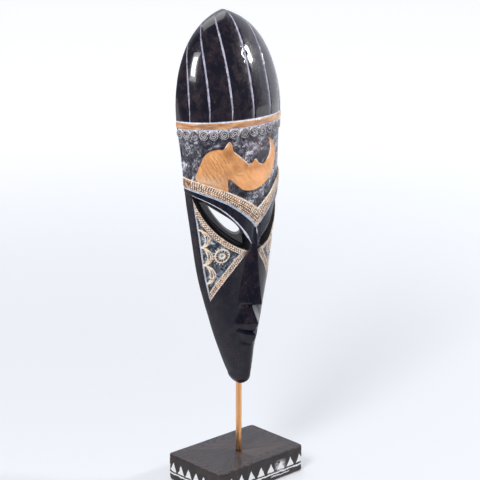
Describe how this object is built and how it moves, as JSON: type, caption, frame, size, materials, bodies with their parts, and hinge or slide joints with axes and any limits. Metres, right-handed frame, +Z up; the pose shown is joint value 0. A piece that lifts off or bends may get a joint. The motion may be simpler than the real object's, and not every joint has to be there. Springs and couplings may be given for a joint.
{
  "type": "standing carved mask",
  "caption": "Tall narrow carved wooden mask with a hollow back and see-through eyes, held up on a metal rod over a wooden plinth.",
  "frame": {"origin": "middle of the plinth's underside", "axes": "+Z up along the rod and mask, -Y the way the face looks, +X along the plinth's long side"},
  "size_m": [0.106, 0.065, 0.4],
  "materials": {
    "carved_wood": "polished near-black wood with white-filled lines, tan bare carving and a slate ground",
    "copper_rod": "smooth copper-coloured metal",
    "plinth_wood": "satin dark stain, white painted triangles and line on the sides"
  },
  "bodies": {
    "root": {"mask": "carved_wood", "rod": "copper_rod", "plinth": "plinth_wood"}
  },
  "joints": []
}
